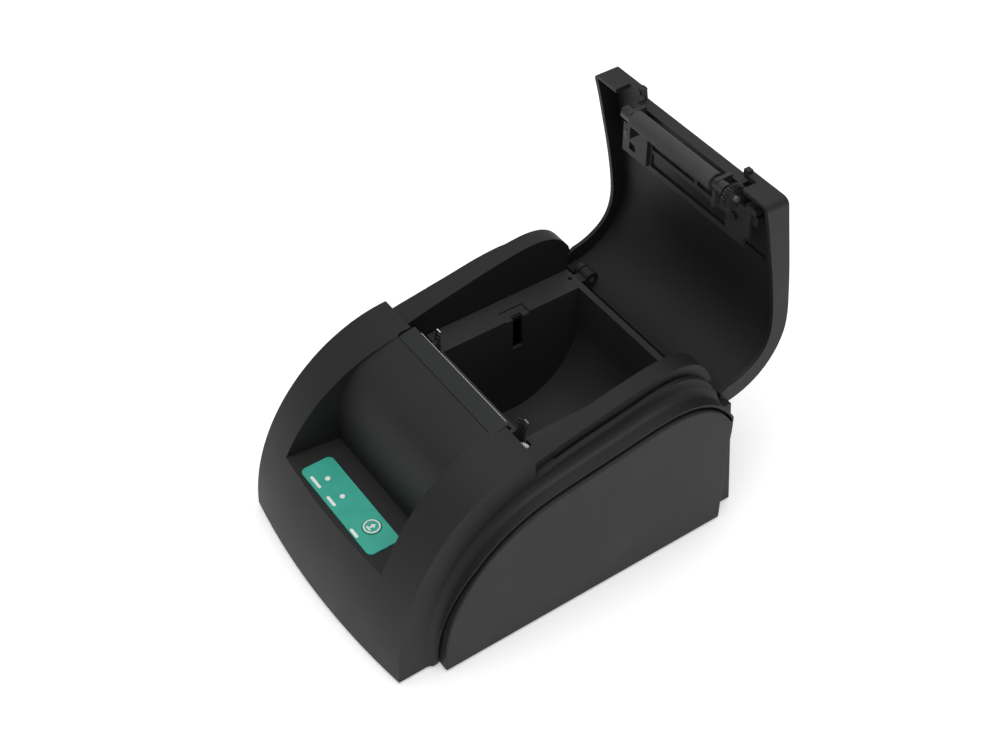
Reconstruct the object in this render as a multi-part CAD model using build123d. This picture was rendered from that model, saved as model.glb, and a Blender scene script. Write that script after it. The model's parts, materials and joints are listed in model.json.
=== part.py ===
from build123d import *

import os
from math import cos, hypot, radians, sin

# Desktop receipt printer for 58 mm paper, lid standing open.
# Millimetres, +Z up, the front of the printer faces -Y.

# ---- driving dimensions -------------------------------------------------
ORIGIN_Y = 108.2         # distance from the front corner to the middle of the footprint
FOOT = 1.5               # rubber feet below the case
WALL = 2.2               # moulded wall thickness
NOSE_WIDTH = 132.0       # front, at the table
NOSE_TOP_WIDTH = 122.0   # front, at the top edge
NOSE_REACH = 80.0        # quarter-ellipse profile: length along y
NOSE_HEIGHT = 101.0      # quarter-ellipse profile: height
BOW_RADIUS = 421.2       # plan radius of the bowed front
BOW_CENTRE_Y = 416.0
NOSE_END = 77.8          # the top of the front stops here and steps down to the lips
CASE_LENGTH = 196.0
PANEL_FACE = 72.7        # half width over the raised side panels
RIM_FACE = 71.0          # half width over the rim that frames each panel
LIP_OUT = 58.2           # lips the lid closes on
LIP_IN = 49.0
SHOULDER_OUT = 63.0
DECK_Z = 79.0            # floor between the lips
HINGE_Y = 183.5
HINGE_Z = 78.5
LID_HALF = 61.5
LEDGE_Z = 50.5           # shelf of the control panel
LABEL_Y = 17.2
LAMPS = ((-19.6, 17.0), (-6.2, 17.0))
KEY = (17.2, 18.6)
BOARD_HOLES = ((-38, 118), (38, 118), (-26, 182), (26, 182))
SCOOP_FRONT = 42.9       # half width of the scooped front at its shelf
SCOOP_REAR = 39.5
BAR_HALF = 34.7          # tear bar
COVER_HALF = 38.4        # cover strip over the tear bar
PLATEN_Y = 85.0          # platen axis with the lid closed
PLATEN_Z = 92.8
PLATEN_R = 4.4
PLATEN_HALF = 28.3
MODULE = 0.5             # gear module
MESH_GAP = 0.25          # extra centre distance between meshed gears

# side view curves, (y, z)
PANEL_CURVE = [(20.6, FOOT), (22.4, 24), (32, 48.5), (48, 66.5), (69, 78), (94, 83.6), (119, 87.4),
               (145, 91), (158, 90.4), (171, 85), (180, 76.5), (184.7, 69)]
SHOULDER_CURVE = [(70, 84), (90, 90.5), (111, 95), (132, 98.6), (148, 101.4), (161, 101), (172, 95),
                  (179, 86.5), (182, 76)]
LIP_CURVE = [(74, 92), (82, 93.3), (92, 95.8), (105, 98.6), (119, 101.6), (134, 104.4), (148, 106.4),
             (160, 106.6), (168, 104.4), (173, 101), (177, 96), (180, 90), (181.5, 84)]
LID_CURVE = [(78.4, 105.7), (103.5, 109.9), (125, 113.4), (142.5, 115.7), (160.4, 116.2), (175.2, 111),
             (183, 104.6), (187.8, 97.8), (190.9, 90), (192.3, 78.5)]
SCOOP_CURVE = [(35.5, LEDGE_Z), (36.3, 66), (38.2, 76), (41.6, 84.5), (46.4, 91), (53, 95.2), (61, 98.3),
               (73, 100.95)]


# ---- helpers --------------------------------------------------------------
def block(x0, x1, y0, y1, z0, z1):
    """Box between two corners."""
    return Pos((x0 + x1) / 2, (y0 + y1) / 2, (z0 + z1) / 2) * Box(x1 - x0, y1 - y0, z1 - z0)


def slab(face, x0, x1):
    """Extrude a side-view face between two x stations."""
    return Pos(x0, 0, 0) * extrude(Plane.YZ * face, x1 - x0, dir=(1, 0, 0))


def rod(x0, x1, y, z, radius):
    """Cylinder lying along x."""
    return Pos((x0 + x1) / 2, y, z) * Rot(0, 90, 0) * Cylinder(radius, x1 - x0)


def post(x, y, z0, z1, radius):
    """Upright cylinder."""
    return Pos(x, y, (z0 + z1) / 2) * Cylinder(radius, z1 - z0)


def both(shape):
    """A shape and its mirror image across the middle."""
    return shape + mirror(shape, Plane.YZ)


def bounded(points, corners):
    """Side-view face between a smooth curve and straight lines through the corners."""
    return make_face(Spline(*points) + Polyline(points[-1], *corners, points[0]))


def under(points, base):
    """Side-view face below a smooth curve, closed along a level base."""
    start, end = points[0], points[-1]
    corners = [(end[0], base), (start[0], base)]
    return bounded(points, [corner for corner in corners if corner != start])


def lowered(points, drop):
    """The same curve moved down."""
    return [(y, z - drop) for y, z in points]


def inward(points, distance):
    """The same curve moved square to itself, towards the inside of the printer."""
    moved = []
    for i, (y, z) in enumerate(points):
        before, after = points[max(i - 1, 0)], points[min(i + 1, len(points) - 1)]
        run, rise = after[0] - before[0], after[1] - before[1]
        length = hypot(run, rise)
        moved.append((y + distance * rise / length, z - distance * run / length))
    return moved


def opened(shape):
    """Swing a shape made in the closed position up into the open one."""
    return Pos(0, HINGE_Y, HINGE_Z) * Rot(-90, 0, 0) * Pos(0, -HINGE_Y, -HINGE_Z) * shape


# ---- case -------------------------------------------------------------------
def section(width, top_width, inset, base, length):
    """Tapered cross-section of the case, extruded along the whole length."""
    half, top = width / 2 - inset, top_width / 2 - inset
    side = ThreePointArc((half, base), ((half + top) / 2 + 0.2, 56), (top, NOSE_HEIGHT + 6))
    outline = side + mirror(side, Plane.YZ) + Line((-half, base), (half, base))
    outline += Line((-top, NOSE_HEIGHT + 6), (top, NOSE_HEIGHT + 6))
    return Pos(0, length, 0) * extrude(Plane.XZ * make_face(outline), length + 20)


def nose(inset):
    """Front of the case: a quarter-ellipse profile swept round the bowed front."""
    reach, height = NOSE_REACH - inset, NOSE_HEIGHT - inset
    profile = Pos(NOSE_REACH, 0) * Ellipse(reach, height) & Pos(NOSE_REACH / 2, height / 2) * Rectangle(
        NOSE_REACH, height)
    profile += Pos(NOSE_REACH + 8, height / 2) * Rectangle(16, height)
    face = Pos(-BOW_RADIUS, 0) * profile
    axis = Axis((0, 0, 0), (0, 0, 1))
    turned = revolve(Plane.YZ * face, axis, 24)
    solid = Pos(0, BOW_CENTRE_Y, 0) * Rot(0, 0, -12) * turned
    return solid & block(-70, 70, -10, NOSE_END - inset, -1, 120)


def rear(inset):
    """Leaning back of the case."""
    outline = Polyline((174, FOOT), (CASE_LENGTH - inset, FOOT), (188.2 - inset, 74 - inset), (174, 74 - inset),
                       (174, FOOT))
    return slab(make_face(outline), -66 + inset, 66 - inset)


def hull(inset):
    """Outer form of the case, or its hollow when inset by the wall."""
    middle = slab(under(lowered(SHOULDER_CURVE, inset), FOOT), -SHOULDER_OUT + inset, SHOULDER_OUT - inset)
    lips = slab(under(lowered(LIP_CURVE, inset), FOOT), -LIP_OUT + inset, LIP_OUT - inset)
    body = nose(inset) + middle
    body = body & section(NOSE_WIDTH, NOSE_TOP_WIDTH, inset, 0, CASE_LENGTH)
    return body + lips + rear(inset)


def panel_area(grow, x0, x1):
    """Raised side panel outline, grown or shrunk, as a slab on the right side."""
    curve = [(PANEL_CURVE[0][0] - grow, FOOT - 4)] + inward(PANEL_CURVE, -grow)
    return slab(under(curve, FOOT - 5), x0, x1) & block(0, 90, 0, 200, FOOT, 120)


def flare():
    """Rim that frames the side panel, standing out a little further towards the top."""
    lean = Polyline((55, FOOT), (67.2, FOOT), (RIM_FACE, 60), (RIM_FACE, 120), (55, 120), (55, FOOT))
    reach = Pos(0, CASE_LENGTH, 0) * extrude(Plane.XZ * make_face(lean), CASE_LENGTH)
    return panel_area(1.8, 55, RIM_FACE) & reach


def scoop():
    """Hollow in the front above the control panel shelf."""
    half = [(SCOOP_FRONT + 1.9, -8), (SCOOP_REAR, 36), (37.6, 60), (37.6, 76)]
    plan = Polyline(*half, *[(-x, y) for x, y in reversed(half)], half[0])
    column = extrude(make_face(plan), 130)
    corners = [(SCOOP_CURVE[-1][0], 115), (-10, 115), (-10, LEDGE_Z)]
    return column & slab(bounded(SCOOP_CURVE, corners), -50, 50)


def scoop_wall():
    """Wall that closes the scoop from inside: the scoop grown by the wall thickness."""
    points = [(y + WALL, z - (0 if z < 60 else WALL * (y - 35) / 24)) for y, z in SCOOP_CURVE]
    points[0] = (SCOOP_CURVE[0][0] + WALL, LEDGE_Z - WALL)
    corners = [(points[-1][0], 115), (-10, 115), (-10, LEDGE_Z - WALL)]
    return slab(bounded(points, corners), -SCOOP_FRONT - WALL, SCOOP_FRONT + WALL)


def form():
    """Outer form of the upper case with the concave valley above each panel rim."""
    body = (hull(0) + both(flare())) & block(-80, 80, -10, 200, FOOT, 130)
    valley = [edge for edge in body.edges() if in_valley(edge)]
    return both(fillet(valley, 4) & block(0, 80, -10, 200, FOOT, 130))


def in_valley(edge):
    """Whether an edge is where a rim meets the side of the case."""
    box = edge.bounding_box()
    return 60.8 < box.min.X < 66.2 and box.max.Z < 93.5 and 15 < box.min.Y < 176 and edge.length > 10


def screw_boss(x, y):
    """Pillar that takes a case screw from below."""
    return post(x, y, FOOT + 5, 110, 4) - post(x, y, FOOT, 30, 1.4)


def port(x0, x1, z0, z1):
    """Opening through the rear wall."""
    return block(x0, x1, 184, 200, z0, z1)


def upper_case():
    """Front, lips, deck, rear wall and the rims round the side panels, in one moulding."""
    well = block(-LIP_IN - WALL, LIP_IN + WALL, NOSE_END - 3, 200, DECK_Z - WALL, 130)
    hollow = hull(WALL) & block(-80, 80, -10, 200, -1, 130)
    outside = form()
    shell = outside - (hollow - well - scoop_wall()) - scoop()
    shell -= block(-LIP_IN, LIP_IN, NOSE_END, 200, DECK_Z, 130)
    shell -= block(-47.5, 47.5, 66, 91.5, 60, 98.6)
    shell -= block(-36.2, 36.2, 90, 175.2, DECK_Z - 5, DECK_Z + 1)
    shell -= block(-LIP_IN - WALL, LIP_IN + WALL, 177.5, 200, 68.5, 120)
    shell -= block(-62.2, 62.2, 182, 210, 68.5, 120)
    shell -= rod(-62.2, 62.2, HINGE_Y, HINGE_Z, 9.4) - block(-80, 80, 0, 177.4, 0, 120)
    shell -= both(panel_area(0.6, 67, 80))
    shell -= both(panel_area(-0.5, 50, 80))
    shell -= both(block(55, 80, 27, 181, 0, 12))
    shell -= block(-52.3, 52.3, 185, 200, 0, 34.3)
    shell -= Pos(0, 75, 99) * extrude(RectangleRounded(2 * COVER_HALF + 1.4, 10.6, 2.5), 12)
    shell -= block(-BAR_HALF - 1, BAR_HALF + 1, 72, NOSE_END + 1, 96, 110)
    above = bounded(lowered(SHOULDER_CURVE, 1.6)[1:-1], [(179, 120), (90, 120)])
    groove = slab(above, LIP_OUT, LIP_OUT + 0.9)
    shell -= both(groove)
    for lamp in LAMPS:
        shell -= post(*lamp, LEDGE_Z - 4, LEDGE_Z + 1, 1.6)
    shell -= post(*KEY, LEDGE_Z - 4, LEDGE_Z + 1, 4.7)
    knuckle = rod(37, 43.5, HINGE_Y, HINGE_Z, 4.2) + block(37, 43.5, 176.8, 182, 74.5, 80.5)
    knuckle += block(37, 43.5, 172, 178, 74.5, 78.9)
    shell += both(knuckle - rod(30, 50, HINGE_Y, HINGE_Z, 1.5))
    return shell + (both(screw_boss(56, 40) + screw_boss(55, 168)) & outside)


def lower_case():
    """Floor pan with the raised side panels and the rear socket wall."""
    floor = block(-61, 61, 26, 192.6, FOOT, FOOT + WALL)
    floor += block(-61, 61, 3.6, 26.5, FOOT, FOOT + WALL) & nose(WALL + 0.4)
    panel = fillet_face(panel_area(-0.9, 60.6, PANEL_FACE))
    panel -= panel_area(-0.9 - WALL, 50, PANEL_FACE - WALL) & block(50, 80, 0, 200, FOOT + WALL, 120)
    pan = floor + both(panel) + block(-52, 52, 188.3, 190.5, FOOT, 34)
    for x, y in ((56, 40), (55, 168)):
        pan -= both(post(x, y, 0, FOOT + 6, 1.7) + post(x, y, 0, FOOT + 1.2, 3.2))
    for y in (34, 176):
        pan -= both(post(46, y, 0, FOOT + 0.8, 5.2))
    pan -= sockets_cutout()
    for x, y in BOARD_HOLES:
        pan += post(x, y, FOOT + WALL - 0.2, 8, 3) - post(x, y, FOOT + 3, 9, 1.0)
    for i in range(7):
        pan -= block(-24 + 8 * i - 1.2, -24 + 8 * i + 1.2, 70, 96, 0, 6)
    return pan


def fillet_face(panel):
    """Soften the rim of the flat face of a side panel."""
    face = panel.faces().sort_by(Axis.X)[-1]
    return fillet([edge for edge in face.edges() if edge.bounding_box().max.Z > FOOT + 1], 0.8)


def sockets_cutout():
    """Openings in the rear wall for the sockets and the switch."""
    holes = port(-46.4, -32.6, 9.4, 24.4)
    holes += port(-20.2, -7.8, 9.4, 21.5)
    holes += port(3.2, 15.8, 9.4, 22.2)
    holes += Pos(32, 190, 16) * Rot(90, 0, 0) * Cylinder(5.2, 20)
    return holes


def paper_bin():
    """Drop-in paper bucket with a round floor and a divider slot in each side."""
    depth, middle, radius = 58, 132.5, 40.5

    def bucket(inset, half, top):
        profile = Pos(middle, depth) * Circle(radius - inset)
        profile += Pos(middle, (depth + top) / 2) * Rectangle(2 * (radius - inset), top - depth)
        return slab(profile & Pos(middle, top / 2) * Rectangle(100, top), -half, half)

    flange = block(-48.6, 48.6, 91.9, 176.5, DECK_Z + 0.1, DECK_Z + 1.9)
    shell = bucket(-1.8, 35.8, DECK_Z + 1.9) + flange - bucket(0, 34, DECK_Z + 5)
    for sign in (-1, 1):
        x0, x1 = sorted((sign * 33, sign * 37))
        shell -= block(x0, x1, 133, 139, 60, 90)
        shell -= block(min(x0, sign * 41), max(x1, sign * 41), 129, 143, DECK_Z + 0.9, 90)
    for y in (94.5, 173.5):
        shell -= both(post(42, y, DECK_Z - 3, 90, 1.2))
    return shell


def tear_cover():
    """Cover strip that follows the top of the front and clamps the tear bar."""
    plan = Pos(0, 75) * RectangleRounded(2 * COVER_HALF, 9.2, 1.8)
    plan += Pos(0, 77.4) * Rectangle(2 * COVER_HALF, 4.4)
    top = Polyline((70, 99.6), (79.6, 100.9), (79.6, 99.1), (70, 99.1), (70, 99.6))
    return extrude(Pos(0, 0, 99.1) * plan, 3) & slab(make_face(top), -40, 40)


def tear_bar():
    """Steel tear bar with a fine row of teeth along its rear edge."""
    bar = block(-BAR_HALF, BAR_HALF, 73, 81.1, 98.5, 99.0)
    bar -= both(post(26, 75.5, 98, 100, 1.3))
    pitch = 1.55
    for i in range(45):
        notch = Polyline((-0.5, 81.2), (0.5, 81.2), (0, 80.6), (-0.5, 81.2))
        bar -= Pos(-34.1 + pitch * i, 0, 98) * extrude(make_face(notch), 2)
    return bar + both(block(BAR_HALF - 2, BAR_HALF, 73, 74.5, 96.5, 98.6))


def coil(x, y0, y1, z, radius, wire):
    """Compression spring along y."""
    length = y1 - y0 - wire
    path = Helix(length / 4, length, radius)
    turn = Plane(path @ 0, z_dir=path % 0) * Circle(wire / 2)
    return Pos(x, y0 + wire / 2, z) * Rot(-90, 0, 0) * sweep(turn, path)


# ---- gears ------------------------------------------------------------------
def gear(teeth, x0, x1, y, z, phase, bore):
    """Spur gear on an x axis with one tooth centred on the phase angle."""
    pitch = MODULE * teeth / 2
    root, tip = pitch - 0.75, pitch + 0.42
    blank = Circle(root)
    tooth = make_face(Polyline((root - 0.3, -0.42), (pitch, -0.24), (tip, -0.13), (tip, 0.13), (pitch, 0.24),
                               (root - 0.3, 0.42), (root - 0.3, -0.42)))
    for i in range(teeth):
        blank += Rot(0, 0, phase + 360 / teeth * i) * tooth
    return slab(Pos(y, z) * (blank - Circle(bore)), x0, x1)


def beside(origin, radius, angle):
    """Point at a distance and direction from another, in side view."""
    return origin[0] + radius * cos(radians(angle)), origin[1] + radius * sin(radians(angle))


def mesh_phase(angle, teeth, gap):
    """Phase that puts a tooth, or a gap, on the line of centres."""
    return angle + (180 / teeth if gap else 0)


GEAR_X = 39.2            # first gear layer, next to the mechanism side plate
LARGE_X = 43.0           # second gear layer
FACE = 3.0
PLATEN_TEETH, IDLER_TEETH, SMALL_TEETH, LARGE_TEETH, PINION_TEETH = 24, 36, 12, 48, 12
IDLER_ANGLE, REDUCTION_ANGLE, MOTOR_ANGLE = -104, -160, -140
PLATEN = (PLATEN_Y, PLATEN_Z)
IDLER = beside(PLATEN, MODULE * (PLATEN_TEETH + IDLER_TEETH) / 2 + MESH_GAP, IDLER_ANGLE)
REDUCTION = beside(IDLER, MODULE * (IDLER_TEETH + SMALL_TEETH) / 2 + MESH_GAP, REDUCTION_ANGLE)
MOTOR = beside(REDUCTION, MODULE * (LARGE_TEETH + PINION_TEETH) / 2 + MESH_GAP, MOTOR_ANGLE)


def platen_gear():
    phase = mesh_phase(IDLER_ANGLE, PLATEN_TEETH, False)
    teeth = gear(PLATEN_TEETH, GEAR_X, GEAR_X + FACE, *PLATEN, phase, 1.5)
    return teeth + rod(36.4, GEAR_X, *PLATEN, 2.6) - rod(36, 44, *PLATEN, 1.5)


def idler_gear():
    phase = mesh_phase(IDLER_ANGLE + 180, IDLER_TEETH, True)
    teeth = gear(IDLER_TEETH, GEAR_X, GEAR_X + FACE, *IDLER, phase, 1.05)
    return teeth + rod(35, GEAR_X, *IDLER, 2.4) - rod(34, 44, *IDLER, 1.05)


def reduction_gear():
    reach = REDUCTION_ANGLE - IDLER_ANGLE
    tooth = mesh_phase(IDLER_ANGLE + 180, IDLER_TEETH, True)
    offset_teeth = ((REDUCTION_ANGLE - tooth) / (360 / IDLER_TEETH)) % 1
    phase = REDUCTION_ANGLE + 180 + (0.5 + offset_teeth) * 360 / SMALL_TEETH
    small = gear(SMALL_TEETH, 36, LARGE_X - 0.4, *REDUCTION, phase, 1.05)
    phase = mesh_phase(MOTOR_ANGLE, LARGE_TEETH, False)
    large = gear(LARGE_TEETH, LARGE_X - 0.4, LARGE_X + FACE - 0.4, *REDUCTION, phase, 1.05)
    return small + large


def motor_pinion():
    phase = mesh_phase(MOTOR_ANGLE + 180, PINION_TEETH, True)
    return gear(PINION_TEETH, LARGE_X - 0.9, LARGE_X + FACE, *MOTOR, phase, 0.8)


def motor_shaft():
    return rod(30, LARGE_X + FACE, *MOTOR, 0.8)


def gear_pins():
    pins = rod(34.4, LARGE_X + FACE + 1.2, *REDUCTION, 1.0) + rod(34.4, GEAR_X + FACE + 0.1, *IDLER, 1.0)
    return pins


# ---- print mechanism ----------------------------------------------------------
def mechanism_frame():
    """Moulded chassis: two side plates with platen notches, a head wall and a floor."""
    side = Polyline((66, 56), (89.8, 56), (89.8, 94.5), (81, 94.5), (81, 96.3), (69, 96.3), (66, 92),
                    (66, 56))
    plate = make_face(side)
    notch = Pos(PLATEN_Y, PLATEN_Z) * Circle(3.6) + Pos(PLATEN_Y + 0.6, PLATEN_Z + 5) * Rectangle(7.2, 10)
    left = slab(plate - notch, -34.4, -32.4)
    motor_plate = make_face(Polyline((48, 44), (89.8, 44), (89.8, 56), (66, 70), (48, 70), (48, 44)))
    right = slab(plate + motor_plate - notch, 32.4, 34.4)
    right -= rod(30, 36, *MOTOR, 3.4) + rod(30, 36, *IDLER, 1.0) + rod(30, 36, *REDUCTION, 1.0)
    wall = block(-32.6, 32.6, 68, 69.6, 72, 95)
    wall += block(-32.6, 32.6, 68, 89.6, 70.6, 72.2) - block(-13, 13, 79, 82, 70, 73)
    feet = both(block(32.4, 41, 82.5, 89.8, 56, 58)) - both(post(38.4, 86.4, 50, 60, 1.3))
    return left + right + wall + feet


def print_head():
    """Ceramic thermal print head with its raised dot line."""
    face = PLATEN_Y - PLATEN_R - 1.1
    plate = block(-30, 30, 77.4, face, 80, 96.5)
    line = block(-24, 24, face - 0.05, face + 0.35, PLATEN_Z - 0.5, PLATEN_Z + 0.3)
    return plate + line


def heat_sink():
    plate = block(-31, 31, 74.6, 77.4, 76, 96.5)
    for x in (-18, 18):
        plate -= Pos(x, 75, 84) * Rot(90, 0, 0) * Cylinder(3.2, 1.4)
    return plate


def head_springs():
    return coil(-18, 69.6, 75.3, 84, 2.1, 0.6) + coil(18, 69.6, 75.3, 84, 2.1, 0.6)


def head_ribbon():
    """Flat ribbon cable from the print head down to the main board."""
    start = PLATEN_Y - PLATEN_R - 0.5
    path = Spline((start, 83), (start, 79), (80.5, 70), (80.5, 45), (85, 26), (99, 15.6), (113.6, 13.4))
    return slab(trace(path, 0.3), -11, 11)


def platen_latches():
    """Leaf springs either side of the platen, behind its bushes."""
    leaf = Polyline((89.1, 74), (89.8, 74), (90.0, 88), (91.0, 91.5), (91.6, 93.8), (90.9, 94.0), (90.3, 91.7),
                    (89.2, 88.3), (89.1, 74))
    tab = block(34.4, 36.6, 85, 89.3, 74, 75)
    return both(slab(make_face(leaf), 34.5, 37.5) + tab)


def stepper_motor():
    can = rod(17, 32.4, *MOTOR, 9.8) + rod(32.4, 34, *MOTOR, 3.2)
    return can - rod(28, 36, *MOTOR, 0.85)


def paper_sensor():
    """Reflective sensor that looks up at the paper path."""
    return block(-4, 4, 83.5, 88.5, 72.2, 76.4) - block(-2.6, 2.6, 84.4, 87.6, 75.6, 77)


def mechanism_screws():
    screw = post(38.4, 86.4, 45, 58, 1.2) + post(38.4, 86.4, 58, 59.6, 2.4)
    return both(screw - block(37.9, 38.9, 82, 91, 59, 60))


# ---- control panel --------------------------------------------------------------
def panel_label():
    """Printed overlay on the shelf, with windows for the lamps and the key."""
    plate = Pos(-0.2, LABEL_Y, LEDGE_Z + 0.4) * extrude(RectangleRounded(62.6, 17, 3), 0.4, both=True)
    for lamp in LAMPS:
        plate -= post(*lamp, 40, 60, 1.4)
    return plate - post(*KEY, 40, 60, 4.7)


def lamp_lenses():
    first, second = (post(*lamp, LEDGE_Z - 3.3, LEDGE_Z + 0.9, 1.3) for lamp in LAMPS)
    return first + second


def feed_button():
    """Round key with a raised ring and a stem that reaches the switch below."""
    cap = post(*KEY, LEDGE_Z - 3, LEDGE_Z + 1.1, 4.35)
    ring = post(*KEY, LEDGE_Z + 1.1, LEDGE_Z + 1.4, 4.0) - post(*KEY, LEDGE_Z, LEDGE_Z + 2, 3.4)
    stem = post(*KEY, LEDGE_Z - 7.1, LEDGE_Z - 2.9, 1.6)
    return cap + ring + stem


def control_board():
    board = block(-34, 34, 10, 31, LEDGE_Z - 14, LEDGE_Z - 12.4)
    return board - both(post(30, 27.5, 20, 60, 1.4))


def lamp_chips():
    chip = post(0, 0, LEDGE_Z - 12.4, LEDGE_Z - 8.2, 1.5) + post(0, 0, LEDGE_Z - 12.4, LEDGE_Z - 11.6, 1.9)
    first, second = (Pos(*lamp, 0) * chip for lamp in LAMPS)
    return first + second


def feed_switch():
    body = Pos(*KEY, 0) * block(-3, 3, -3, 3, LEDGE_Z - 12.4, LEDGE_Z - 9)
    return body + post(*KEY, LEDGE_Z - 9, LEDGE_Z - 8.3, 1.5)


def panel_screws():
    head = post(30, 27.5, LEDGE_Z - 15.6, LEDGE_Z - 14, 2.4)
    return both(head + post(30, 27.5, LEDGE_Z - 14, LEDGE_Z - 6, 1.2))


# ---- electronics at the back -------------------------------------------------------
def main_board():
    board = block(-50, 50, 112, 187.4, 8, 9.6)
    for x, y in BOARD_HOLES:
        board -= post(x, y, 5, 12, 1.4)
    return board


def board_screws():
    group = [post(x, y, 9.6, 11.2, 2.4) + post(x, y, 5, 9.6, 1.0) for x, y in BOARD_HOLES]
    return Compound(children=[Solid(s.solids()[0].wrapped) for s in group])


def ribbon_connector():
    return block(-13, 13, 113.8, 118.6, 9.6, 15.4) - block(-11.4, 11.4, 110, 116.5, 12.9, 13.9)


def board_parts():
    """Processor, driver and the two tall capacitors."""
    group = [block(-8, 8, 136, 152, 9.6, 11.2), block(14, 22, 140, 148, 9.6, 11.0)]
    group += [post(x, 176, 9.6, 19.6, 3.1) for x in (22.4, -27)]
    return Compound(children=group)


def usb_socket():
    body = block(-20, -8, 174, 190.6, 9.6, 21.3)
    body -= block(-18.9, -9.1, 178, 191, 10.7, 20.2)
    return body + block(-16.6, -11.4, 178, 189.5, 13.6, 17)


def power_socket():
    body = block(3.4, 15.6, 175, 190.6, 9.6, 22)
    body -= Pos(9.5, 186, 16) * Rot(90, 0, 0) * Cylinder(4.4, 12)
    return body + Pos(9.5, 184, 16) * Rot(90, 0, 0) * Cylinder(1.1, 10)


def drawer_socket():
    """Six-way modular socket for a cash drawer."""
    body = block(-46.2, -32.8, 172.5, 190.6, 9.6, 24.2)
    body -= block(-44.6, -34.4, 176, 191, 12.6, 21.4)
    return body - block(-42, -37, 176, 191, 11, 13)


def switch_frame():
    """Round bezel and body of the power switch."""
    body = Pos(32, 186.6, 16) * Rot(90, 0, 0) * Cylinder(5.0, 9)
    bezel = Pos(32, 191.1, 16) * Rot(90, 0, 0) * Cylinder(6.6, 1.2)
    hole = block(29.2, 34.8, 186.6, 193, 12.2, 19.8)
    return body + bezel - hole - rod(28.4, 35.6, 189.2, 16, 0.95)


def power_rocker():
    """Rocker key that tips about a crossways pin."""
    side = Polyline((188.0, 12.7), (191.6, 12.7), (192.6, 16), (191.6, 19.3), (188.0, 19.3),
                    (188.0, 12.7))
    return slab(make_face(side), 29.6, 34.4) + rod(28.7, 35.3, 189.2, 16, 0.9)


# ---- fixings -----------------------------------------------------------------------
def hinge_pins():
    return both(rod(37, 48, HINGE_Y, HINGE_Z, 1.5))


def rubber_feet():
    group = []
    for x in (-46, 46):
        for y in (34, 176):
            group.append(post(x, y, 0, FOOT + 0.8, 5.0))
    return Compound(children=group)


def case_screws():
    group = []
    for x, y in ((-56, 40), (56, 40), (-55, 168), (55, 168)):
        head = post(x, y, FOOT - 0.7, FOOT + 1.0, 2.8) + post(x, y, FOOT + 1.0, 20, 1.25)
        group.append(head - block(x - 2, x + 2, y - 0.3, y + 0.3, 0, FOOT - 0.1))
    return Compound(children=group)


# ---- lid, made closed and swung open --------------------------------------------------
def lid_side():
    """Side view of the lid between its top curve and the edge that meets the lips."""
    edge = [(y, z + 0.6) for y, z in LIP_CURVE[1:]]
    top = Spline(*LID_CURVE)
    corners = Polyline(LID_CURVE[-1], (184.0, 80.4), edge[-1])
    front = Polyline(edge[0], (LID_CURVE[0][0], edge[0][1] - 0.6), LID_CURVE[0])
    return make_face(top + corners + Spline(*edge) + front)


def lid_hollow(depth):
    """Side view of the space under the lid, a given depth below its top curve."""
    curve = [(LID_CURVE[0][0] + depth, LID_CURVE[0][1] - depth + 0.4)] + inward(LID_CURVE, depth)[1:]
    return bounded(curve, [(curve[-1][0], 60), (curve[0][0], 60)])


def lid_shell():
    """Curved lid with thin sides that drop outside the lips, and a stepped front edge."""
    front = Pos(0, LID_CURVE[0][0] + 80, 60) * extrude(RectangleRounded(2 * LID_HALF, 160, 3.5), 70)
    shell = slab(lid_side(), -LID_HALF, LID_HALF) & front
    shell -= slab(lid_hollow(WALL), -LID_HALF + WALL, LID_HALF - WALL)
    shell -= block(-37, 37, 70, 84, 80, 125)
    shell -= both(block(36.9, 45, 70, 84, 80, 101.4))
    shell += slab(under(LID_CURVE, 80), -37, 37) & block(-37, 37, 84, 86, 100.2, 120)
    shell += both(block(35.8, 38.8, 76.8, 80, 101.9, 104.8))
    for x, y in ((-41, 104), (34, 104)):
        shell += (post(x, y, 102.8, 120, 3) & slab(under(LID_CURVE, 80), -50, 50)) - post(x, y, 102, 107, 1.1)
    ear = slab(Pos(HINGE_Y, HINGE_Z) * Circle(4.2), 44.2, 47) + block(44.2, 47, HINGE_Y, 190.9, 76.2, 81)
    shell += both(ear - rod(40, 50, HINGE_Y, HINGE_Z, 1.55))
    rib = slab(lid_hollow(WALL - 0.3) - lid_hollow(WALL + 0.9), -47, 47)
    shell += rib & block(-47, 47, 124, 125.6, 90, 125)
    return opened(shell)


def platen_bracket():
    """Carrier under the front of the lid with two posts for the platen bushes."""
    plate = block(-46, 42, 95.5, 117, 101.2, 102.8)
    plate -= block(-25, 6, 97, 104, 100, 104) + block(8, 29, 97, 104, 100, 104)
    plate -= block(-25, 29, 106.5, 114, 100, 104)
    plate += block(-45, -27, 99, 115, 99.6, 101.3) - block(-40, -35.5, 108, 112, 99, 103)
    plate += both(block(29.4, 31.6, 81.6, 96.2, 90.4, 102.8))
    plate -= rod(-40, 40, *PLATEN, 3.2)
    plate -= block(-60, 60, 70, 120, 80, 90.5) + block(-60, 60, 70, 86.4, 99.8, 110)
    for x, y in ((-41, 104), (34, 104)):
        plate -= post(x, y, 98, 104, 1.3)
    return opened(plate)


def bracket_screws():
    group = [post(-41, 104, 98.2, 99.6, 2.3) + post(-41, 104, 99.6, 106.6, 1.1),
             post(34, 104, 99.8, 101.2, 2.3) + post(34, 104, 101.2, 106.6, 1.1)]
    return opened(Compound(children=[Solid(s.solids()[0].wrapped) for s in group]))


def bracket_hook():
    """Hooked lever at the right end of the platen carrier."""
    hook = block(43.4, 50, 90, 93.4, 98.6, 103) + block(44.4, 47, 90, 108, 98.6, 100.6)
    hook += block(44.4, 50, 95, 100, 100.4, 107.2)
    return opened(hook & slab(lid_hollow(WALL), 40, 55))


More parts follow.
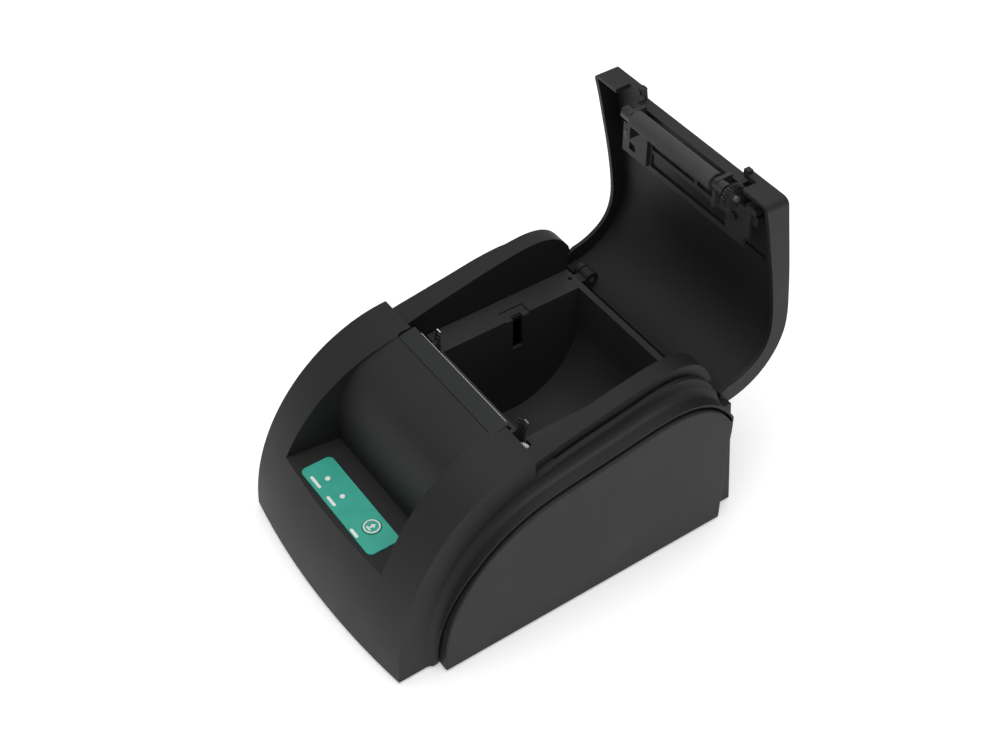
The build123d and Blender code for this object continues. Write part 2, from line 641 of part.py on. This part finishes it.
def platen_bushes():
    bush = rod(28.9, 36, *PLATEN, 3.2) - rod(28, 37, *PLATEN, 1.55)
    return opened(both(bush))


def platen_shaft():
    return opened(rod(-37.4, 43.4, *PLATEN, 1.5))


def platen_roller():
    return opened(rod(-PLATEN_HALF, PLATEN_HALF, *PLATEN, PLATEN_R) - rod(-40, 40, *PLATEN, 1.5))


NODES = {
    "upper_case": upper_case, "lower_case": lower_case, "paper_bin": paper_bin,
    "tear_bar_cover": tear_cover, "tear_bar": tear_bar,
    "mechanism_frame": mechanism_frame, "print_head": print_head, "heat_sink": heat_sink,
    "head_springs": head_springs, "head_ribbon": head_ribbon, "platen_latches": platen_latches,
    "stepper_motor": stepper_motor, "motor_shaft": motor_shaft, "motor_pinion": motor_pinion,
    "reduction_gear": reduction_gear, "idler_gear": idler_gear, "gear_pins": gear_pins,
    "paper_sensor": paper_sensor, "mechanism_screws": mechanism_screws,
    "panel_label": panel_label, "lamp_lenses": lamp_lenses, "feed_button": feed_button,
    "control_board": control_board, "lamp_chips": lamp_chips, "feed_switch": feed_switch,
    "panel_screws": panel_screws,
    "main_board": main_board, "board_screws": board_screws, "ribbon_connector": ribbon_connector,
    "board_parts": board_parts, "usb_socket": usb_socket, "power_socket": power_socket,
    "drawer_socket": drawer_socket, "switch_frame": switch_frame, "power_rocker": power_rocker,
    "hinge_pins": hinge_pins, "rubber_feet": rubber_feet, "case_screws": case_screws,
    "lid_shell": lid_shell, "platen_bracket": platen_bracket, "bracket_screws": bracket_screws,
    "bracket_hook": bracket_hook, "platen_bushes": platen_bushes, "platen_shaft": platen_shaft,
    "platen_roller": platen_roller, "platen_gear": lambda: opened(platen_gear()),
}

os.makedirs("parts", exist_ok=True)
for name, build in NODES.items():
    export_step(Pos(0, -ORIGIN_Y, 0) * build(), f"parts/{name}.step")
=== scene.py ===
"""Finishes, printed marks and studio for a desktop receipt printer with its lid standing open.

Every size is in metres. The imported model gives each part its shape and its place. This script gives
each moulding, metal and rubber its finish, adds the printed marks on the control panel, and sets up
a pale floor, soft lights and the camera.
"""

from __future__ import annotations

import json
import logging
import math
from dataclasses import dataclass, field
from enum import Enum
from typing import Dict, List, Mapping, Optional, Sequence, Tuple, Union

import bpy
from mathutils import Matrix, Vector

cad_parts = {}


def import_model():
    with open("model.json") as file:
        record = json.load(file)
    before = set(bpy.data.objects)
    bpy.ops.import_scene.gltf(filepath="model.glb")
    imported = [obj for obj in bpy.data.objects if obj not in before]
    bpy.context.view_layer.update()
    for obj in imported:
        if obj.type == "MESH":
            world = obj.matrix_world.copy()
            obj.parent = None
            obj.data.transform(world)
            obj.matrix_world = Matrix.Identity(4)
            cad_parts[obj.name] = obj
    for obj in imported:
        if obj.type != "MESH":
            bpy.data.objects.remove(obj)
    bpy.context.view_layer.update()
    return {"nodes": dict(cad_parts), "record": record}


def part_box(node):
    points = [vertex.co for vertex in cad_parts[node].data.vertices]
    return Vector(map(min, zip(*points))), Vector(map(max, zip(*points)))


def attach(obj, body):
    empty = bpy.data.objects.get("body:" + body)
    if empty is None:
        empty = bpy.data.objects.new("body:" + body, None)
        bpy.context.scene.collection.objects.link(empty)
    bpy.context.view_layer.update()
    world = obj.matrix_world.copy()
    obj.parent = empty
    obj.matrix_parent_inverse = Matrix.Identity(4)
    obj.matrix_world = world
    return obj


LOG = logging.getLogger("receipt_printer")

MM = 0.001

Colour = Tuple[float, float, float]
Point = Tuple[float, float]


def linear(red: int, green: int, blue: int) -> Colour:
    """Turn a display colour into the linear colour that shaders use.

    Args:
        red: Display red, 0 to 255.
        green: Display green, 0 to 255.
        blue: Display blue, 0 to 255.

    Returns:
        The three linear channels.
    """

    def channel(value: int) -> float:
        """Undo the display curve of one channel."""
        share = value / 255
        return share / 12.92 if share <= 0.04045 else ((share + 0.055) / 1.055) ** 2.4

    return channel(red), channel(green), channel(blue)


def middle_of(node: str) -> Point:
    """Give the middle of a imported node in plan.

    Args:
        node: Name of the node.

    Returns:
        Its middle along x and y.
    """
    low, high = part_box(node)
    return (low.x + high.x) / 2, (low.y + high.y) / 2


def scaled(shade: Colour, share: float) -> Colour:
    """Multiply each channel of a colour by the same share."""
    red, green, blue = shade
    return red * share, green * share, blue * share


class Body(Enum):
    """Bodies of the printer that pieces of this script ride on."""

    PRINTER = "printer"
    FEED_KEY = "feed_key"


class Lay(Enum):
    """Direction in which a metal part was drawn, rolled or ground."""

    ALONG_X = (0.04, 1.0, 1.0)
    ALONG_Z = (1.0, 1.0, 0.04)
    NONE = (1.0, 1.0, 1.0)


# ---- shader arithmetic ---------------------------------------------------------------


class Wire:
    """A shader output that takes part in ordinary arithmetic."""

    def __init__(self, recipe: "Recipe", socket: bpy.types.NodeSocket) -> None:
        """Keep the output and the recipe that it belongs to."""
        self.recipe = recipe
        self.socket = socket

    def _maths(self, operation: str, first: "Term", second: "Term") -> "Wire":
        """Add one Math node.

        Args:
            operation: Name of the Math node's operation.
            first: Left operand.
            second: Right operand.

        Returns:
            The node's output.
        """
        return self.recipe.node("ShaderNodeMath", {"operation": operation}, {0: first, 1: second})

    def __add__(self, other: "Term") -> "Wire":
        """Add."""
        return self._maths("ADD", self, other)

    def __radd__(self, other: "Term") -> "Wire":
        """Add, with this on the right."""
        return self._maths("ADD", other, self)

    def __sub__(self, other: "Term") -> "Wire":
        """Subtract."""
        return self._maths("SUBTRACT", self, other)

    def __rsub__(self, other: "Term") -> "Wire":
        """Subtract this from the other."""
        return self._maths("SUBTRACT", other, self)

    def __mul__(self, other: "Term") -> "Wire":
        """Multiply."""
        return self._maths("MULTIPLY", self, other)

    def __rmul__(self, other: "Term") -> "Wire":
        """Multiply, with this on the right."""
        return self._maths("MULTIPLY", other, self)

    def __gt__(self, other: "Term") -> "Wire":
        """One where this is greater, nought elsewhere."""
        return self._maths("GREATER_THAN", self, other)

    def __lt__(self, other: "Term") -> "Wire":
        """One where this is less, nought elsewhere."""
        return self._maths("LESS_THAN", self, other)


Term = Union[Wire, float, int, Colour, Sequence[float]]


class Recipe:
    """One material under construction."""

    def __init__(self, name: str) -> None:
        """Start an empty material with its surface shader.

        Args:
            name: Name of the material.
        """
        self.material = bpy.data.materials.new(name)
        self.material.use_nodes = True
        self.tree = self.material.node_tree
        self.tree.nodes.clear()
        output = self.tree.nodes.new("ShaderNodeOutputMaterial")
        self.surface = self.tree.nodes.new("ShaderNodeBsdfPrincipled")
        self.tree.links.new(self.surface.outputs["BSDF"], output.inputs["Surface"])

    def _feed(self, socket: bpy.types.NodeSocket, value: Term) -> None:
        """Link a wire into a socket, or set the socket's own value."""
        if isinstance(value, Wire):
            self.tree.links.new(value.socket, socket)
            return
        if socket.type == "RGBA" and len(value) == 3:
            value = (*value, 1.0)
        socket.default_value = value

    def node(
        self,
        kind: str,
        settings: Optional[Mapping[str, object]] = None,
        inputs: Optional[Mapping[Union[str, int], Term]] = None,
        output: Union[str, int] = 0,
    ) -> Wire:
        """Add any node: its settings first, then the values or links of its sockets.

        Args:
            kind: Type name of the node.
            settings: Attributes to set on it.
            inputs: Socket names or numbers, with what goes into each.
            output: Name or number of the output wanted.

        Returns:
            That output.
        """
        made = self.tree.nodes.new(kind)
        for name, value in (settings or {}).items():
            setattr(made, name, value)
        for key, value in (inputs or {}).items():
            self._feed(made.inputs[key], value)
        return Wire(self, made.outputs[output])

    def place(self, stretch: Sequence[float] = (1.0, 1.0, 1.0)) -> Wire:
        """Give the point on the part in metres, stretched by an amount along each axis."""
        here = self.node("ShaderNodeTexCoord", output="Object")
        return self.node("ShaderNodeVectorMath", {"operation": "MULTIPLY"}, {0: here, 1: tuple(stretch)})

    def noise(self, where: Wire, size: float, detail: float = 2.0) -> Wire:
        """Add cloudy noise with features of about the given size, in metres."""
        return self.node(
            "ShaderNodeTexNoise", inputs={"Vector": where, "Scale": 1 / size, "Detail": detail}
        )

    def cells(self, where: Wire, size: float) -> Wire:
        """Add the distance to the nearest cell centre, for cells of the given size."""
        return self.node("ShaderNodeTexVoronoi", inputs={"Vector": where, "Scale": 1 / size})

    def ramp(self, value: Wire, start: float, end: float) -> Wire:
        """Rise from nought at the start to one at the end, and stay within them."""
        return self.node(
            "ShaderNodeMapRange", {"clamp": True}, {"Value": value, "From Min": start, "From Max": end}
        )

    def mixed(self, mask: Term, first: Term, second: Term) -> Wire:
        """Mix two colours, the second where the mask is one."""
        return self.node(
            "ShaderNodeMix", {"data_type": "RGBA"}, {0: mask, 6: first, 7: second}, output=2
        )

    def raised(self, height: Wire, depth: float, strength: float = 1.0) -> Wire:
        """Turn a height pattern into a surface normal, with its depth in metres."""
        return self.node(
            "ShaderNodeBump", inputs={"Height": height, "Distance": depth, "Strength": strength}
        )

    def distance(self, centre: Point) -> Wire:
        """Give the distance from an upright line through a point in plan."""
        flat = self.place((1.0, 1.0, 0.0))
        return self.node(
            "ShaderNodeVectorMath", {"operation": "DISTANCE"}, {0: flat, 1: (*centre, 0.0)}, output="Value"
        )

    def close(self, **sockets: Term) -> bpy.types.Material:
        """Feed the surface shader and hand over the material.

        Args:
            **sockets: Socket names with underscores for spaces, and what goes into each.

        Returns:
            The finished material.
        """
        for name, value in sockets.items():
            self._feed(self.surface.inputs[name.replace("_", " ")], value)
        return self.material


# ---- finishes ------------------------------------------------------------------------


@dataclass(frozen=True)
class Moulding:
    """Injection moulded plastic with an eroded grain, handled a little."""

    name: str
    shade: Colour
    roughness: float = 0.55
    grain: float = 0.00045
    depth: float = 0.00002
    handling: float = 0.05
    reflection: float = 0.5
    cloud_size: float = 45 * MM
    rub_size: float = 30 * MM
    scuff_width: float = 1.1 * MM
    scuff_patch: float = 18 * MM
    scuff_stretch: Tuple[float, float, float] = (1.0, 0.06, 0.3)
    shade_swing: float = 0.16

    def make(self) -> bpy.types.Material:
        """Build the material: grain, cloudy shade, rubbed patches and a few fine scuffs."""
        recipe = Recipe(self.name)
        here = recipe.place()
        cloud = recipe.noise(here, self.cloud_size, 3.0)
        speck = recipe.noise(here, self.grain * 2, 2.0)
        lift = recipe.ramp(cloud * 0.7 + speck * 0.3, 0.3, 0.7)
        darker = scaled(self.shade, 1 - self.shade_swing)
        lighter = scaled(self.shade, 1 + self.shade_swing)
        rubbed = recipe.ramp(recipe.noise(here, self.rub_size, 4.0), 0.45, 0.75)
        streaks = recipe.noise(recipe.place(self.scuff_stretch), self.scuff_width, 2.0)
        scuff = recipe.ramp(streaks, 0.74, 0.82)
        patch = recipe.ramp(recipe.noise(here, self.scuff_patch, 1.0), 0.62, 0.72)
        height = recipe.cells(here, self.grain) + recipe.noise(here, self.grain * 0.6, 2.0) * 0.6
        return recipe.close(
            Base_Color=recipe.mixed(lift, darker, lighter),
            Roughness=self.roughness - rubbed * self.handling + speck * 0.06 - scuff * patch * 0.12,
            Specular_IOR_Level=self.reflection,
            Normal=recipe.raised(height, self.depth),
        )


@dataclass(frozen=True)
class Metal:
    """Bare or plated metal with the marks of how it was worked."""

    name: str
    shade: Colour
    roughness: float = 0.32
    lay: Lay = Lay.NONE
    mark: float = 0.3 * MM
    mark_depth: float = 0.008 * MM
    dull_size: float = 6 * MM

    def make(self) -> bpy.types.Material:
        """Build the material: fine lines along the lay, and duller patches."""
        recipe = Recipe(self.name)
        lines = recipe.noise(recipe.place(self.lay.value), self.mark, 3.0)
        dull = recipe.ramp(recipe.noise(recipe.place(), self.dull_size, 3.0), 0.4, 0.7)
        shaded = scaled(self.shade, 0.8)
        return recipe.close(
            Base_Color=recipe.mixed(dull * 0.6 + lines * 0.3, self.shade, shaded),
            Metallic=1.0,
            Roughness=self.roughness + dull * 0.12 + lines * 0.1,
            Normal=recipe.raised(lines, self.mark_depth),
        )


@dataclass(frozen=True)
class Rubber:
    """Rubber that was ground to size, dull and very finely scored."""

    name: str
    shade: Colour
    roughness: float = 0.62
    lay: Lay = Lay.NONE
    score_size: float = 0.35 * MM
    pore_size: float = 0.6 * MM
    bloom_size: float = 8 * MM
    depth: float = 0.015 * MM

    def make(self) -> bpy.types.Material:
        """Build the material: score lines, pores and a dusty bloom."""
        recipe = Recipe(self.name)
        here = recipe.place()
        score = recipe.noise(recipe.place(self.lay.value), self.score_size, 3.0)
        pores = recipe.cells(here, self.pore_size)
        bloom = recipe.ramp(recipe.noise(here, self.bloom_size, 4.0), 0.4, 0.75)
        dusty = tuple(channel * 1.35 + 0.004 for channel in self.shade)
        return recipe.close(
            Base_Color=recipe.mixed(bloom * 0.7, self.shade, dusty),
            Roughness=self.roughness + bloom * 0.1 + score * 0.05,
            Normal=recipe.raised(score + pores * 0.4, self.depth),
        )


@dataclass(frozen=True)
class PrintedFilm:
    """Plastic film or cap printed in one colour, with an optional white ring."""

    name: str
    shade: Colour
    ring_centre: Optional[Point] = None
    ring_inner: float = 3.35 * MM
    ring_outer: float = 4.1 * MM
    ink: Colour = (0.75, 0.78, 0.76)
    cloud_size: float = 7 * MM
    peel_size: float = 1.2 * MM
    peel_depth: float = 0.01 * MM
    shade_swing: float = 0.07

    def make(self) -> bpy.types.Material:
        """Build the material: even ink, a soft peel in the varnish, and the ring."""
        recipe = Recipe(self.name)
        here = recipe.place()
        cloud = recipe.ramp(recipe.noise(here, self.cloud_size, 3.0), 0.3, 0.7)
        darker = scaled(self.shade, 1 - self.shade_swing)
        lighter = scaled(self.shade, 1 + self.shade_swing)
        shade = recipe.mixed(cloud, darker, lighter)
        if self.ring_centre is not None:
            reach = recipe.distance(self.ring_centre)
            ring = (reach > self.ring_inner) * (reach < self.ring_outer)
            shade = recipe.mixed(ring, shade, self.ink)
        peel = recipe.noise(here, self.peel_size, 2.0)
        return recipe.close(
            Base_Color=shade,
            Roughness=0.42 + cloud * 0.06 + peel * 0.04,
            Normal=recipe.raised(peel, self.peel_depth),
        )


@dataclass(frozen=True)
class Lens:
    """Small milky lamp lens."""

    name: str
    shade: Colour
    haze_shade: Colour = (0.7, 0.72, 0.7)
    haze_size: float = 0.8 * MM

    def make(self) -> bpy.types.Material:
        """Build the material: a milky body with a slight haze on a polished face."""
        recipe = Recipe(self.name)
        haze = recipe.noise(recipe.place(), self.haze_size, 2.0)
        return recipe.close(
            Base_Color=recipe.mixed(haze * 0.3, self.shade, self.haze_shade),
            Roughness=0.16 + haze * 0.1,
            Coat_Weight=0.3,
        )


@dataclass(frozen=True)
class CircuitBoard:
    """Green circuit board with tracks under the mask."""

    name: str
    shade: Colour
    pitch: float = 1.27 * MM
    wave_scale: float = 6.3
    area_size: float = 12 * MM
    gloss_size: float = 4 * MM
    track_depth: float = 0.03 * MM

    def make(self) -> bpy.types.Material:
        """Build the material: tracks in two directions, broken up by board areas."""
        recipe = Recipe(self.name)
        here = recipe.place()
        tracks: List[Wire] = []
        for direction in ("X", "Y"):
            bands = recipe.node(
                "ShaderNodeTexWave",
                {"bands_direction": direction},
                {"Vector": here, "Scale": 1 / (self.pitch * self.wave_scale), "Distortion": 0.4},
            )
            tracks.append(recipe.ramp(bands, 0.62, 0.7))
        area = recipe.ramp(recipe.noise(here, self.area_size, 0.0), 0.49, 0.51)
        copper = tracks[0] * area + tracks[1] * (1 - area)
        lighter = scaled(self.shade, 1.9)
        return recipe.close(
            Base_Color=recipe.mixed(copper, self.shade, lighter),
            Roughness=0.28 + recipe.noise(here, self.gloss_size, 3.0) * 0.1,
            Normal=recipe.raised(copper, self.track_depth),
        )


Finish = Union[Moulding, Metal, Rubber, PrintedFilm, Lens, CircuitBoard]

CHARCOAL = linear(26, 26, 27)
BLACK = linear(24, 24, 25)


def finishes() -> Dict[str, Finish]:
    """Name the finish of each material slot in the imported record.

    Returns:
        Slot names and their finishes.
    """
    key = middle_of("feed_button")
    teal = linear(50, 162, 142)
    return {
        "case_plastic": Moulding("charcoal case", CHARCOAL, reflection=0.32),
        # The inner moulding is painted lighter than the case: partly its own black, partly painted light
        # that brightens the shaded paper well.
        "inner_plastic": Moulding("inner moulding lightened as painted light", linear(42, 42, 43), roughness=0.6, reflection=0.3),
        "strip_plastic": Moulding(
            "satin strip", linear(27, 31, 28), roughness=0.42, grain=0.0003, reflection=0.35
        ),
        "bracket_plastic": Moulding("roller bracket", linear(36, 36, 38), roughness=0.5, reflection=0.35),
        "panel_print": PrintedFilm("teal label", teal),
        "key_print": PrintedFilm("teal key", teal, ring_centre=key),
        "lens": Lens("milky lamp lens", (0.8, 0.84, 0.82)),
        "steel": Metal("ground steel", (0.6, 0.6, 0.61), 0.28, Lay.ALONG_X),
        "spring_steel": Metal("spring steel", (0.66, 0.66, 0.68), 0.22, Lay.ALONG_Z),
        "zinc_screw": Metal("zinc plated screw", (0.55, 0.56, 0.58), 0.3),
        "socket_metal": Metal("tinned shell", (0.62, 0.62, 0.64), 0.26),
        "aluminium": Metal("rolled aluminium", (0.72, 0.73, 0.75), 0.38, Lay.ALONG_X),
        "brass": Metal("turned brass", (0.66, 0.48, 0.2), 0.25),
        "ceramic": Moulding("glazed ceramic", (0.62, 0.6, 0.54), roughness=0.3, grain=0.0002),
        "white_gear": Moulding("natural acetal", (0.62, 0.61, 0.57), roughness=0.45, grain=0.0002),
        "black_gear": Moulding("black acetal", BLACK, roughness=0.42, grain=0.0002),
        "platen_rubber": Rubber("platen rubber", linear(44, 44, 46), lay=Lay.ALONG_X),
        "foot_rubber": Rubber("foot rubber", linear(28, 28, 28)),
        "board_green": CircuitBoard("circuit board", (0.015, 0.11, 0.05)),
        "chip_black": Moulding("chip package", linear(30, 30, 31), roughness=0.5, grain=0.0002),
        "socket_black": Moulding("socket moulding", linear(26, 26, 26), roughness=0.45),
        "ribbon": PrintedFilm("ribbon film", (0.42, 0.2, 0.05)),
        "bush": Moulding("black bush", linear(24, 24, 24), roughness=0.45, grain=0.0002),
        "black_screw": Metal("black oxide screw", (0.07, 0.07, 0.075), 0.38),
        "rocker_key": Moulding("glossy rocker", linear(22, 22, 22), roughness=0.25, grain=0.001),
    }


# ---- building pieces -----------------------------------------------------------------


def plate(name: str, outlines: Sequence[Sequence[Point]], base: float, top: float) -> bpy.types.Object:
    """Make flat plates with straight sides from outlines in plan.

    Args:
        name: Name of the piece.
        outlines: One closed outline for each plate, anticlockwise seen from above.
        base: Height of the underside.
        top: Height of the face.

    Returns:
        One object that holds all the plates.
    """
    vertices: List[Tuple[float, float, float]] = []
    faces: List[Tuple[int, ...]] = []
    for outline in outlines:
        count, first = len(outline), len(vertices)
        vertices += [(x, y, base) for x, y in outline] + [(x, y, top) for x, y in outline]
        faces.append(tuple(first + i for i in reversed(range(count))))
        faces.append(tuple(first + count + i for i in range(count)))
        for i in range(count):
            j = (i + 1) % count
            faces.append((first + i, first + j, first + count + j, first + count + i))
    mesh = bpy.data.meshes.new(name)
    mesh.from_pydata(vertices, [], faces)
    mesh.update()
    piece = bpy.data.objects.new(name, mesh)
    bpy.context.scene.collection.objects.link(piece)
    return piece


def bar(centre: Point, length: float, width: float, steps: int = 6) -> List[Point]:
    """Outline a bar with round ends, lying along x.

    Args:
        centre: Middle of the bar in plan.
        length: Whole length along x.
        width: Width along y.
        steps: Segments in each round end.

    Returns:
        The outline, anticlockwise.
    """
    radius = width / 2
    outline: List[Point] = []
    for side, start in ((1, -90), (-1, 90)):
        middle = centre[0] + side * (length / 2 - radius)
        for i in range(steps + 1):
            angle = math.radians(start + 180 / steps * i)
            outline.append((middle + radius * math.cos(angle), centre[1] + radius * math.sin(angle)))
    return outline


@dataclass
class Dressing:
    """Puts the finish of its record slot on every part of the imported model."""

    nodes: Mapping[str, bpy.types.Object]
    slots: Mapping[str, str]
    made: Dict[str, bpy.types.Material] = field(default_factory=dict)

    def prepare(self, choices: Mapping[str, Finish]) -> None:
        """Make one material for each slot in use."""
        for slot in sorted(set(self.slots.values())):
            self.made[slot] = choices[slot].make()

    def dress(self) -> None:
        """Give each part the material of its slot."""
        for name, slot in self.slots.items():
            part = self.nodes[name]
            for place in part.material_slots:
                place.material = self.made[slot]
            if not part.material_slots:
                part.data.materials.append(self.made[slot])
            LOG.info("%s is finished in %s", name, self.made[slot].name)


@dataclass
class ControlPanel:
    """White printed marks on the label and on the feed key."""

    ink: Colour = (0.78, 0.8, 0.79)
    film: float = 0.06 * MM
    dash_width: float = 1.5 * MM
    lamp_offsets: Tuple[float, float] = (-20.6 * MM, -6.4 * MM)
    lamp_dashes: Tuple[float, float] = (8.7 * MM, 7.1 * MM)
    lamp_dash_drop: float = 6.0 * MM
    key_offset: float = 16.0 * MM
    key_dash: float = 6.2 * MM
    key_dash_drop: float = 7.2 * MM
    icon: float = 3.2 * MM
    rim_height: float = 0.3 * MM

    def build(self) -> None:
        """Make the dashes and the icon, and let them ride on the case and on the key."""
        material = PrintedFilm("white ink", self.ink).make()
        dashes = self._dashes()
        icon = self._icon()
        for piece, body, slot in (
            (dashes, Body.PRINTER, "panel_print"),
            (icon, Body.FEED_KEY, "key_print"),
        ):
            piece.data.materials.append(material)
            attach(piece, body.value)
            LOG.info("%s rides on %s", piece.name, body.value)

    def _dashes(self) -> bpy.types.Object:
        """Make a plain dash in front of each lamp and of the key."""
        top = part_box("panel_label")[1].z
        middle_x, middle_y = middle_of("panel_label")
        outlines = [
            bar((middle_x + offset, middle_y - self.lamp_dash_drop), length, self.dash_width)
            for offset, length in zip(self.lamp_offsets, self.lamp_dashes)
        ]
        beside_key = (middle_x + self.key_offset, middle_y - self.key_dash_drop)
        outlines.append(bar(beside_key, self.key_dash, self.dash_width))
        return plate("label_dashes", outlines, top - self.film, top + self.film)

    def _icon(self) -> bpy.types.Object:
        """Make the feed icon on the face inside the key's rim: an arrow above a short line."""
        x, y = middle_of("feed_button")
        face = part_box("feed_button")[1].z - self.rim_height
        half = self.icon / 2
        stem = 0.3 * half
        tail, neck, tip = y - 0.7 * half, y + 0.2 * half, y + 1.3 * half
        arrow = [
            (x - stem, tail),
            (x + stem, tail),
            (x + stem, neck),
            (x + half, neck),
            (x, tip),
            (x - half, neck),
            (x - stem, neck),
        ]
        line = bar((x, y - 1.15 * half), self.icon, 0.28 * self.icon)
        return plate("feed_icon", [arrow, line], face - self.film, face + self.film)


@dataclass(frozen=True)
class SoftBox:
    """One square soft light: where it hangs, the length of its sides, and its power in watts."""

    name: str
    place: Tuple[float, float, float]
    size: float
    power: float


@dataclass
class Studio:
    """Pale floor, soft lights and the camera."""

    lights: Tuple[SoftBox, ...] = (
        SoftBox("top light", (0.1, -0.05, 1.3), 0.9, 9.5),
        SoftBox("side light", (1.1, 0.0, 0.5), 0.8, 0.5),
        SoftBox("back light", (-0.6, 1.0, 0.9), 0.8, 1.5),
    )
    aim: Tuple[float, float, float] = (0.0, 0.0, 0.08)
    floor_size: float = 6.0
    floor_depth: float = 0.01
    floor_glow: float = 0.34
    white: Colour = (1.0, 1.0, 1.0)
    camera_place: Tuple[float, float, float] = (0.44711, -0.31649, 0.63183)
    azimuth: float = 55.27
    elevation: float = 45.0
    lens: float = 59.34
    horizon: float = 0.62
    zenith: float = 0.4

    def build(self) -> None:
        """Set up the whole studio."""
        self._floor()
        self._sky()
        for box in self.lights:
            self._hang(box)
        self._camera()
        bpy.context.scene.view_settings.view_transform = "Standard"
        LOG.info("studio is set up")

    def _floor(self) -> None:
        """Lay a wide floor of pale paper that glows a little, so that shadows stay light."""
        half = self.floor_size / 2
        corners = [(-half, -half), (half, -half), (half, half), (-half, half)]
        floor = plate("floor", [corners], -self.floor_depth, 0.0)
        recipe = Recipe("pale floor")
        tone = recipe.noise(recipe.place(), 0.4, 2.0)
        floor.data.materials.append(
            recipe.close(
                Base_Color=recipe.mixed(tone, (0.86, 0.86, 0.86), (0.88, 0.88, 0.88)),
                Roughness=0.9,
                Specular_IOR_Level=0.1,
                Emission_Color=self.white,
                Emission_Strength=self.floor_glow,
            )
        )

    def _sky(self) -> None:
        """Fill the room with light that is stronger towards the walls than overhead."""
        world = bpy.data.worlds.new("studio room")
        world.use_nodes = True
        tree = world.node_tree
        direction = tree.nodes.new("ShaderNodeTexCoord")
        split = tree.nodes.new("ShaderNodeSeparateXYZ")
        fade = tree.nodes.new("ShaderNodeMapRange")
        fade.inputs["From Min"].default_value = 0.0
        fade.inputs["From Max"].default_value = 0.95
        fade.inputs["To Min"].default_value = self.horizon
        fade.inputs["To Max"].default_value = self.zenith
        tree.links.new(direction.outputs["Generated"], split.inputs["Vector"])
        tree.links.new(split.outputs["Z"], fade.inputs["Value"])
        tree.links.new(fade.outputs["Result"], tree.nodes["Background"].inputs["Strength"])
        tree.nodes["Background"].inputs["Color"].default_value = (*self.white, 1.0)
        bpy.context.scene.world = world

    def _hang(self, box: SoftBox) -> None:
        """Hang one soft box so that it faces the printer.

        Args:
            box: The soft box.
        """
        lamp = bpy.data.lights.new(box.name, "AREA")
        lamp.size = box.size
        lamp.energy = box.power
        light = bpy.data.objects.new(box.name, lamp)
        light.location = box.place
        light.rotation_euler = (Vector(box.place) - Vector(self.aim)).to_track_quat("Z", "Y").to_euler()
        bpy.context.scene.collection.objects.link(light)

    def _camera(self) -> None:
        """Place the camera above the right front corner."""
        turn, rise = math.radians(self.azimuth), math.radians(self.elevation)
        back = Vector(
            (math.sin(turn) * math.cos(rise), -math.cos(turn) * math.cos(rise), math.sin(rise))
        )
        data = bpy.data.cameras.new("camera")
        data.lens = self.lens
        data.sensor_width = 36.0
        data.clip_start = 0.01
        camera = bpy.data.objects.new("camera", data)
        camera.location = self.camera_place
        camera.rotation_euler = back.to_track_quat("Z", "Y").to_euler()
        bpy.context.scene.collection.objects.link(camera)
        bpy.context.scene.camera = camera


def main() -> None:
    """Load the frame, dress it, add the marks and set up the studio."""
    logging.basicConfig(level=logging.INFO, format="%(message)s")
    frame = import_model()
    slots = {part["node"]: part["material_slot"] for part in frame["record"]["subparts"]}
    dressing = Dressing(frame["nodes"], slots)
    dressing.prepare(finishes())
    dressing.dress()
    ControlPanel().build()
    Studio().build()


if __name__ == "__main__":
    main()
